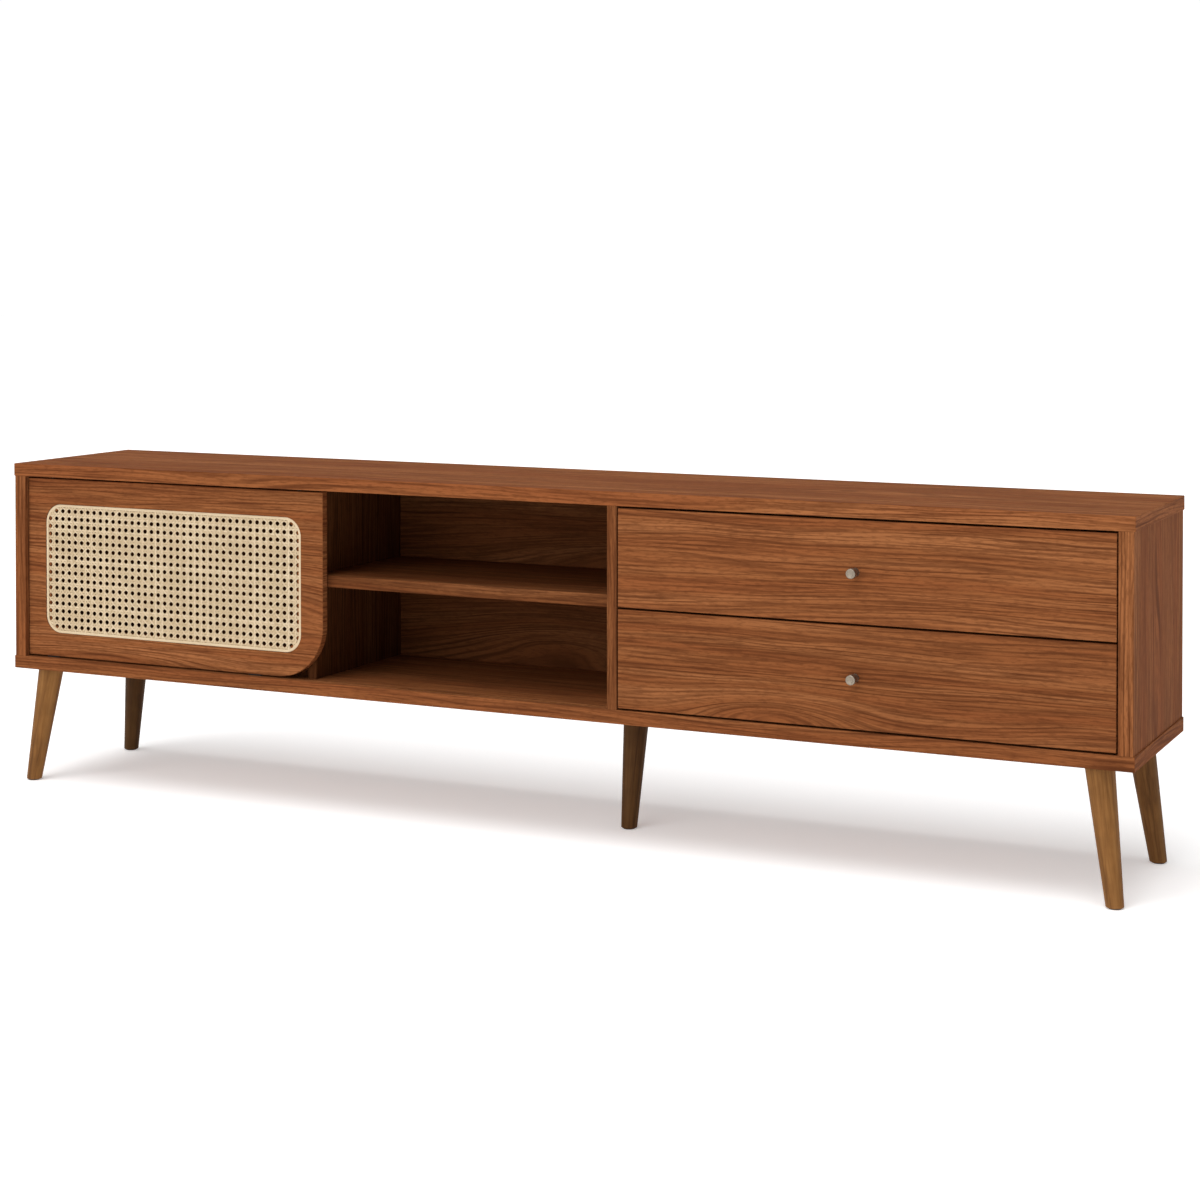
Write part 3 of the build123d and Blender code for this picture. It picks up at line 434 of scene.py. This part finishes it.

# %% [markdown]
# Each board gets the axis of its grain, a tone, the width of its broad bands and its arches. The
# tone paints light and shade into the foil. The boards round the open bay are darker than the
# others, as painted shade: the lights alone leave the bay too bright, and the darker foil makes up
# for that. The top is a little lighter and some fronts a little darker, as painted light and shade.

# %% Foil on the boards
# arch: share of the length and of the width, half length, half width and height in metres
# board: axis of the grain, tone that paints light and shade, width of the broad bands, arches
foil_boards = {
    "top_panel": ("X", 1.10, 0.030, [(0.30, 0.30, 0.30, 0.050, 0.045),
                                     (0.78, 0.62, 0.26, 0.040, 0.040)]),
    "bottom_panel": ("X", 0.96, 0.030, []),
    "middle_shelf": ("X", 0.68, 0.030, []),
    "back_panel": ("X", 0.63, 0.030, [(0.47, 0.16, 0.20, 0.050, 0.046),
                                      (0.55, 0.62, 0.26, 0.040, 0.038)]),
    "door_panel": ("X", 1.02, 0.022, [(0.90, 0.45, 0.16, 0.050, 0.042),
                                      (0.30, 0.04, 0.20, 0.022, 0.018)]),
    "upper_drawer_front": ("X", 1.00, 0.022, [(0.70, 0.10, 0.24, 0.030, 0.016)]),
    "lower_drawer_front": ("X", 0.93, 0.022, [(0.33, 0.07, 0.12, 0.030, 0.045),
                                              (0.98, 0.00, 0.16, 0.040, 0.028)]),
    "left_side_panel": ("Z", 1.00, 0.044, []),
    "right_side_panel": ("Z", 1.00, 0.044, [(0.20, 0.55, 0.20, 0.030, 0.030)]),
    "left_divider": ("Z", 0.38, 0.030, []),
    "right_divider": ("Z", 0.76, 0.030, []),
}
first_shift, shift_step = 1.7, 2.31
for count, (board, (along, tone_with_painted_light_and_shade, band, shares)) in enumerate(foil_boards.items()):
    arches = place_arches(board, along, shares)
    shift = first_shift + shift_step * count
    paint(board, walnut_foil(board, along, shift, tone_with_painted_light_and_shade, band, arches))
print("foil on", len(foil_boards), "boards")

# %% [markdown]
# ## Solid wood of the legs
#
# The legs are turned from solid wood and stained to go with the foil. Their brown is yellower,
# their figure is a fine mottle along the leg, and the stain lies darker in the pores. Each leg
# leans, so a Mapping node turns the pattern until its grain follows the leg.
#
# The centre leg and the rear legs stand in the shade of the body. The lights alone leave them too
# bright, so that shade is painted in: a tone darkens their stain, as painted shade.

# %% Leg wood
# painted shade of each leg: a tone from 0 for black to 1 for the plain stain
leg_painted_shade = {"front_left_leg": 1.0, "front_right_leg": 1.0, "rear_left_leg": 0.32,
             "rear_right_leg": 0.70, "centre_leg": 0.38}
leg_dark = (0.095, 0.0390, 0.0125)
leg_mid = (0.220, 0.0960, 0.0270)
leg_light = (0.285, 0.1350, 0.0420)
leg_stops = ((0.30, leg_dark), (0.50, leg_mid), (0.70, leg_light))
leg_roughness, leg_gloss = 0.55, 0.08
leg_relief = (0.15, 0.0004)
mottle_scale, mottle_range = 38.0, (0.35, 0.7, 0.30)
figure_share = 0.75
figure_scale, fibre_scale = (130.0, 130.0, 5.0), (700.0, 700.0, 28.0)
end_depth = 1 * MM
leg_shift_step = 0.9


def leg_direction(leg):
    """Direction of a leg, from the middle of its lowest points to that of its highest."""
    points = [v.co for v in frame["nodes"][leg].data.vertices]
    low, high = min(p.z for p in points), max(p.z for p in points)
    ends = []
    for height in (low, high):
        near = [p for p in points if abs(p.z - height) < end_depth]
        ends.append(sum(near, Vector()) / len(near))
    return (ends[1] - ends[0]).normalized()


def leg_wood(leg, shift, tone_with_painted_light_and_shade):
    """Stained solid wood whose grain follows a leaning leg. The tone darkens the stain as painted shade.
    """
    direction = leg_direction(leg)
    material, tree, shader = new_material("stained_wood_" + leg, leg_roughness, leg_gloss)
    place = object_place(tree)
    turned = mapping(tree, place, Rotation=direction.rotation_difference(Vector((0, 0, 1))).to_euler())
    grain = mapping(tree, turned, Location=(shift, shift, shift), Scale=figure_scale)
    fine = mapping(tree, turned, Location=(shift, 0.0, shift), Scale=fibre_scale)
    figure = noise(tree, grain, 1.0, 3.0, 0.55, 0.6)
    fibre = noise(tree, fine, 1.0, 2.0, 0.6)
    mixed = math_node(tree, "ADD", math_node(tree, "MULTIPLY", figure, figure_share),
                      math_node(tree, "MULTIPLY", fibre, 1 - figure_share))
    colour = ramp_node(tree, mixed, leg_stops)
    mottle = share_above(tree, noise(tree, place, mottle_scale, 2.0), *mottle_range)
    colour = blend_colour(tree, mottle, colour, leg_dark)
    # painted shade: the tone darkens the stain of the legs that stand under the body
    shade = blend_colour(tree, 1.0, colour, (tone_with_painted_light_and_shade, tone_with_painted_light_and_shade, tone_with_painted_light_and_shade), "MULTIPLY")
    tree.links.new(shade, shader.inputs["Base Color"])
    relief(tree, shader, fibre, *leg_relief)
    return material


for count, (leg, tone_with_painted_light_and_shade) in enumerate(leg_painted_shade.items()):
    paint(leg, leg_wood(leg, leg_shift_step * count, tone_with_painted_light_and_shade))
print("stain on", len(leg_painted_shade), "legs")

# %% [markdown]
# ## Woven cane
#
# Cane webbing is woven from six sets of flat strands: pairs that run up and down, pairs that run
# across, and single strands along both diagonals. The pairs leave square openings, and the
# diagonals, which cross on the middle of each side, cut the corners off, so that the holes are
# octagons. A picture of holes would look flat from the side, so the strands are modelled.
#
# Each strand is a flat six-sided prism, cut across into short lengths, four to every hole. The
# cuts are then lifted or lowered as the strand passes over or under the others: one strand of an
# upright pair lies behind the cross pairs and the other in front, and a diagonal goes over the
# uprights and under the cross strands, or the other way round.

# %% Size of the weave
cane_low, cane_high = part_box("cane_panel")
cane_middle = (cane_low + cane_high) / 2
pitch = 12.28 * MM
quarter = pitch / 4
hole_columns, hole_rows = 39, 16
weave_shift = 0.8 * MM
strand_width = 2.84 * MM
diagonal_width = 2.50 * MM
strand_thickness = 0.42 * MM
half_lift = strand_thickness / 2
pair_spacing = pitch / 4
corner_radius = 28.7 * MM
edge_margin = 0.6 * MM
half_width = (cane_high.x - cane_low.x) / 2 - edge_margin
half_height = (cane_high.z - cane_low.z) / 2 - edge_margin
print("weave of", hole_columns, "by", hole_rows, "holes, one every", round(pitch / MM, 2), "mm")

# %% Strands
strand_mesh = bpy.data.meshes.new("one_strand")
# a strand with fewer points is left out
least_points = 3
random.seed(16)


def inside_window(x, z):
    """True inside the rounded outline of the sheet, measured from its middle."""
    past_x = abs(x) - (half_width - corner_radius)
    past_z = abs(z) - (half_height - corner_radius)
    if past_x > 0 and past_z > 0:
        return math.hypot(past_x, past_z) <= corner_radius
    return past_x <= corner_radius and past_z <= corner_radius


def strand(bm, points, width, lift):
    """Add a flat strand through evenly spaced points, raised at each by lift(x, z), to a bmesh."""
    first, last = Vector(points[0]), Vector(points[-1])
    along = (last - first).normalized()
    front = Vector((0, -1, 0))
    turn = Matrix((front, along.cross(front), along)).transposed()
    # the flat sides of a six-sided prism of radius 1 lie sqrt(3) apart, and its far edges 2 apart
    size = Matrix.Diagonal((strand_thickness / math.sqrt(3), width / 2, 1.0))
    prism = bmesh.new()
    tint_layer = prism.verts.layers.float.new("tint")
    bmesh.ops.create_cone(prism, cap_ends=True, cap_tris=False, segments=6, radius1=1.0, radius2=1.0,
                          depth=(last - first).length,
                          matrix=Matrix.Translation((first + last) / 2) @ (turn @ size).to_4x4())
    long_edges = [edge for edge in prism.edges
                  if abs((edge.verts[0].co - edge.verts[1].co).dot(along)) > width / 2]
    bmesh.ops.subdivide_edges(prism, edges=long_edges, cuts=len(points) - 2)
    tint = random.random()
    step = (last - first).length / (len(points) - 1)
    for vert in prism.verts:
        point = points[round((vert.co - first).dot(along) / step)]
        vert.co.y -= lift(point[0] - cane_middle.x, point[2] - cane_middle.z)
        vert[tint_layer] = tint
    prism.to_mesh(strand_mesh)
    prism.free()
    bm.from_mesh(strand_mesh)


def points_across_window(x, z, step_x, step_z):
    """Evenly spaced points on a line through (x, z), from end to end of the window."""
    count = 0
    while inside_window(x - (count + 1) * step_x, z - (count + 1) * step_z):
        count += 1
    points = []
    x, z = x - count * step_x, z - count * step_z
    while inside_window(x, z):
        points.append((cane_middle.x + x, cane_middle.y, cane_middle.z + z))
        x, z = x + step_x, z + step_z
    return points


def weave(name, strands, width, material):
    """One set of strands as a piece of the door. strands is a list of (points, lift)."""
    long_enough = [(points, lift) for points, lift in strands if len(points) >= least_points]
    bm = bmesh.new()
    bm.verts.layers.float.new("tint")
    for points, lift in long_enough:
        strand(bm, points, width, lift)
    mesh = bpy.data.meshes.new(name)
    bm.to_mesh(mesh)
    bm.free()
    mesh.materials.append(material)
    mesh.polygons.foreach_set("use_smooth", [len(p.vertices) == 4 for p in mesh.polygons])
    piece = link_object(name, mesh)
    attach(piece, "sliding_door")
    print(name, len(long_enough), "strands,", len(mesh.polygons), "faces")


# %% [markdown]
# The strands are slit from the glossy skin of rattan. Their colour runs from cream to straw, from
# strand to strand, so each strand carries a number of its own in an attribute called tint. Fine
# lines follow the strand, which is why every set has its own direction in the recipe.

# %% Cane material
cane_dark = (0.530, 0.395, 0.235)
cane_straw = (0.620, 0.475, 0.300)
cane_cream = (0.720, 0.575, 0.385)
cane_blotch = (0.470, 0.330, 0.180)
cane_line = (0.400, 0.275, 0.145)
cane_roughness, cane_gloss = 0.48, 0.45
cane_relief = (0.25, 0.0002)
cane_line_scale, cane_line_range = (2600.0, 900.0, 60.0), (0.45, 0.75, 0.35)
blotch_scale, blotch_range = 22.0, (0.35, 0.75, 0.35)


def cane_skin(name, turn):
    """Rattan skin. turn is the angle of the strands from upright, in the plane of the door."""
    material, tree, shader = new_material("cane_skin_" + name, cane_roughness, cane_gloss)
    place = object_place(tree)
    turned = mapping(tree, place, Rotation=(0.0, turn, 0.0))
    fibre = noise(tree, mapping(tree, turned, Scale=cane_line_scale), 1.0, 2.0, 0.6)
    tint = add(tree, "ShaderNodeAttribute", attribute_name="tint").outputs["Fac"]
    colour = ramp_node(tree, tint, ((0.0, cane_dark), (0.6, cane_straw), (1.0, cane_cream)))
    blotch = share_above(tree, noise(tree, place, blotch_scale, 3.0), *blotch_range)
    colour = blend_colour(tree, blotch, colour, cane_blotch)
    colour = blend_colour(tree, share_above(tree, fibre, *cane_line_range), colour, cane_line)
    tree.links.new(colour, shader.inputs["Base Color"])
    relief(tree, shader, fibre, *cane_relief)
    return material


print("cane skin ready")

# %% [markdown]
# Everything in the weave is counted from the lines on which the pairs cross. Halfway between two
# of them lies a row or a column of holes. The strands are woven one set at a time.

# %% Crossing lines


def crossing(index, count):
    """Place of a crossing line of the pairs, from the middle of the sheet."""
    return (index - count / 2) * pitch


column_lines = [crossing(index, hole_columns) + weave_shift for index in range(hole_columns + 1)]
row_lines = [crossing(index, hole_rows) for index in range(hole_rows + 1)]
middle_column = column_lines[(hole_columns + 1) // 2]
middle_row = row_lines[hole_rows // 2]
print(len(column_lines), "column lines and", len(row_lines), "row lines")

# %% Upright strands


def upright_lift(side):
    """Lift of one strand of an upright pair: the full lift on row lines and none between them."""
    def lift(x, z):
        return side * half_lift * (1 + math.cos(2 * math.pi * (z - row_lines[0]) / pitch)) / 2
    return lift


uprights = []
for line in column_lines:
    for side in (-1, 1):
        points = points_across_window(line + side * pair_spacing / 2, middle_row, 0.0, quarter)
        uprights.append((points, upright_lift(side)))
weave("cane_upright_strands", uprights, strand_width, cane_skin("upright", 0.0))

# %% Cross strands


def cross_lift(x, z):
    """A cross strand goes over the left upright of a pair, under the right one, and is flat between."""
    part = ((x - column_lines[0]) / pitch + 0.5) % 1 - 0.5
    if abs(part) > 0.25:
        return 0.0
    return -half_lift if part > 0 else half_lift


cross_strands = []
for line in row_lines:
    for side in (-1, 1):
        points = points_across_window(middle_column + quarter / 2, line + side * pair_spacing / 2,
                                      quarter, 0.0)
        cross_strands.append((points, cross_lift))
weave("cane_cross_strands", cross_strands, strand_width, cane_skin("cross", math.pi / 2))

# %% [markdown]
# A diagonal crosses each column line halfway between two row lines. It may start outside the
# window, so the search walks along it until it comes in, first one way and then the other.

# %% Diagonal strands


def diagonal_lift(slope):
    """Lift of a diagonal. A rising one is in front on column lines and behind between them."""
    def lift(x, z):
        on_line = math.cos(2 * math.pi * (x - column_lines[0]) / pitch) > 0
        return slope * (strand_thickness if on_line else -strand_thickness)
    return lift


def point_inside(start_x, start_z, slope):
    """A point of the window on the diagonal through a starting point, or None."""
    for way in (1, -1):
        x, z = start_x, start_z
        while not inside_window(x, z) and way * x < half_width:
            x, z = x + way * quarter, z + way * slope * quarter
            if abs(z) > half_height:
                break
        if inside_window(x, z):
            return x, z
    return None


for name, slope in (("rising", 1), ("falling", -1)):
    diagonals = []
    for index in range(-hole_rows, hole_columns + hole_rows + 1):
        start_x = column_lines[0] + index * pitch + quarter / 2
        start = point_inside(start_x, middle_row + pitch / 2 + slope * quarter / 2, slope)
        if start:
            diagonals.append((points_across_window(*start, quarter, slope * quarter),
                              diagonal_lift(slope)))
    weave(f"cane_{name}_strands", diagonals, diagonal_width, cane_skin(name, slope * math.pi / 4))

# %% [markdown]
# The cut ends of the weave lie under a flat band of cane that is glued round the window. The band
# starts as one face with its four corners bevelled into arcs. An inset makes the band, the middle
# is removed, and a Solidify modifier gives it thickness. A small Bevel takes the edge off.

# %% Border of the cane
border_width = 4.0 * MM
border_thickness = 0.8 * MM
border_clearance = 0.1 * MM
border_forward = 0.65 * MM
border_rounding = 0.25 * MM
border_tint = 0.75
arc_segments = 10

bm = bmesh.new()
bmesh.ops.create_grid(bm, x_segments=1, y_segments=1, size=1.0)
bmesh.ops.transform(bm, verts=bm.verts, matrix=Matrix.Diagonal(
    (half_width + edge_margin - border_clearance, half_height + edge_margin - border_clearance,
     1.0, 1.0)))
bmesh.ops.bevel(bm, geom=bm.verts[:], offset=corner_radius, segments=arc_segments, profile=0.5,
                affect="VERTICES", material=-1)
bmesh.ops.inset_individual(bm, faces=bm.faces[:], thickness=border_width, use_even_offset=True)
middle_face = max(bm.faces, key=lambda face: face.calc_area())
bmesh.ops.delete(bm, geom=[middle_face], context="FACES")
border_place = Matrix.Translation(cane_middle - Vector((0.0, border_forward, 0.0)))
upright = Matrix.Rotation(math.pi / 2, 4, "X")
bmesh.ops.transform(bm, verts=bm.verts, matrix=border_place @ upright)
tint_layer = bm.verts.layers.float.new("tint")
for vert in bm.verts:
    vert[tint_layer] = border_tint
bmesh.ops.recalc_face_normals(bm, faces=bm.faces)
border_mesh = bpy.data.meshes.new("cane_border")
bm.to_mesh(border_mesh)
bm.free()
border_mesh.materials.append(cane_skin("border", math.pi / 2))
cane_border = link_object("cane_border", border_mesh)
solid = cane_border.modifiers.new("thickness", "SOLIDIFY")
solid.thickness = border_thickness
solid.offset = 0.0
rounded = cane_border.modifiers.new("rounded_edges", "BEVEL")
rounded.width = border_rounding
rounded.segments = 2
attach(cane_border, "sliding_door")
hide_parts("cane_panel")
print("border", len(border_mesh.polygons), "faces")

# %% [markdown]
# ## Other finishes
#
# The slides and screws are zinc-plated steel, the cam fittings are cast zinc, the door guides and
# the foot glides are dark nylon, and the dowels are plain beech. Each has its own small
# irregularity: sheet steel shows faint rolling lines, nylon a soft mottle, and beech its fine grain.
# The drawer boxes are board in the same foil as the cabinet, a little darker.

# %% Metal, nylon and beech
dark_share, light_share = 0.82, 1.12
gloss_scale, gloss_below, gloss_above = 120.0, 0.08, 0.10
steel_relief, speckle_relief = (0.08, 0.0002), (0.1, 0.0002)


def plated_steel(name, colour, roughness, scale):
    """Plated metal with faint lines from rolling and a little variation in its gloss."""
    material, tree, shader = new_material(name, roughness, 0.5, 1.0)
    place = object_place(tree)
    value = noise(tree, mapping(tree, place, Scale=scale), 1.0, 3.0, 0.6)
    dark = tuple(part * dark_share for part in colour)
    light = tuple(part * light_share for part in colour)
    tree.links.new(ramp_node(tree, value, ((0.3, dark), (0.7, light))), shader.inputs["Base Color"])
    gloss = add(tree, "ShaderNodeMapRange", {
        "Value": noise(tree, place, gloss_scale, 2.0), "To Min": roughness - gloss_below,
        "To Max": roughness + gloss_above}).outputs[0]
    tree.links.new(gloss, shader.inputs["Roughness"])
    relief(tree, shader, value, *steel_relief)
    return material


def speckled(name, dark, light, scale, roughness):
    """Two-tone mottled finish for plastic and plain wood."""
    material, tree, shader = new_material(name, roughness, 0.35)
    value = noise(tree, mapping(tree, object_place(tree), Scale=scale), 1.0, 3.0, 0.6)
    tree.links.new(ramp_node(tree, value, ((0.3, dark), (0.7, light))), shader.inputs["Base Color"])
    relief(tree, shader, value, *speckle_relief)
    return material


zinc_sheet = plated_steel("zinc_sheet", (0.62, 0.64, 0.66), 0.34, (900.0, 12.0, 900.0))
cast_zinc = plated_steel("cast_zinc", (0.52, 0.52, 0.53), 0.40, (500.0, 500.0, 500.0))
nylon = speckled("nylon", (0.020, 0.013, 0.009), (0.034, 0.022, 0.015), (260.0, 260.0, 260.0), 0.5)
beech = speckled("beech", (0.46, 0.28, 0.14), (0.62, 0.41, 0.23), (240.0, 240.0, 14.0), 0.6)
print("finishes", ", ".join(finish.name for finish in (zinc_sheet, cast_zinc, nylon, beech)))

# %% Fittings and drawer boxes
finish_of_slot = {"zinc_steel": zinc_sheet, "zinc": cast_zinc, "nylon": nylon, "dowel_wood": beech}
first_box_shift, box_shift_step = 31.3, 1.9
box_tone = 0.92
box_count = 0
for subpart in frame["record"]["subparts"]:
    node, slot_name = subpart["node"], subpart["material_slot"]
    if slot_name in finish_of_slot:
        paint(node, finish_of_slot[slot_name])
    elif slot_name in ("drawer_board", "drawer_bottom_board"):
        along = "Y" if node.endswith(("left_side", "right_side")) else "X"
        paint(node, walnut_foil(node, along, first_box_shift + box_shift_step * box_count, box_tone))
        box_count += 1
print("foil on", box_count, "boards of the drawer boxes")

# %% [markdown]
# ## Knobs
#
# A knob this small is turned from a bar of metal on a lathe: a foot, a slim waist and a straight
# head with a rounded rim and a shallow hollow in its face. Half of that outline, spun once round
# the axis of the knob, gives the whole piece, just as the lathe does.

# %% Outline of a knob
knob_metal = plated_steel("satin_knob_metal", (0.29, 0.243, 0.193), 0.46, (700.0, 700.0, 700.0))
# shares of the knob's radius
foot_share, waist_share, hollow_share, hollow_floor_share = 0.85, 0.76, 0.70, 0.62
head_share = 0.45
foot_height, waist_start = 0.8 * MM, 1.5 * MM
rim = 0.9 * MM
hollow_depth, middle_depth = 0.35 * MM, 0.5 * MM
waist_steps, rim_steps, lathe_steps = 8, 5, 48


def knob_outline(radius, length):
    """Half of the outline, from the foot to the middle of the face, as (radius, height)."""
    head_start = length - length * head_share
    outline = [(0.0, 0.0), (radius * foot_share, 0.0), (radius * foot_share, foot_height),
               (radius * waist_share, waist_start)]
    for step in range(1, waist_steps):
        share = step / waist_steps
        swell = (0.5 - 0.5 * math.cos(share * math.pi)) ** 2
        outline.append((radius * (waist_share + (1 - waist_share) * swell),
                        waist_start + share * (head_start - waist_start)))
    outline.append((radius, head_start))
    for step in range(rim_steps + 1):
        angle = step / rim_steps * math.pi / 2
        outline.append((radius - rim + rim * math.cos(angle), length - rim + rim * math.sin(angle)))
    outline += [(radius * hollow_share, length), (radius * hollow_floor_share, length - hollow_depth),
                (0.0, length - middle_depth)]
    return outline


print("outline of", len(knob_outline(1.0, 1.0)), "points")

# %% Turned knobs


def turned_knob(name, body):
    """Lathe-turned knob in place of a frame node of the same name."""
    low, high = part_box(name)
    middle = (low + high) / 2
    outline = knob_outline((high.x - low.x) / 2, high.y - low.y)
    bm = bmesh.new()
    verts = [bm.verts.new((middle.x + out, high.y - along, middle.z)) for out, along in outline]
    edges = [bm.edges.new(pair) for pair in zip(verts, verts[1:])]
    bmesh.ops.spin(bm, geom=verts + edges, cent=middle, axis=(0, 1, 0), angle=2 * math.pi,
                   steps=lathe_steps, use_merge=True)
    bmesh.ops.remove_doubles(bm, verts=bm.verts, dist=0.01 * MM)
    bmesh.ops.recalc_face_normals(bm, faces=bm.faces)
    mesh = bpy.data.meshes.new(name + "_turned")
    bm.to_mesh(mesh)
    bm.free()
    mesh.materials.append(knob_metal)
    mesh.shade_smooth()
    piece = link_object(name + "_turned", mesh)
    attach(piece, body)
    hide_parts(name)
    print(piece.name, len(mesh.polygons), "faces")


for drawer in ("upper", "lower"):
    turned_knob(drawer + "_knob", drawer + "_drawer")
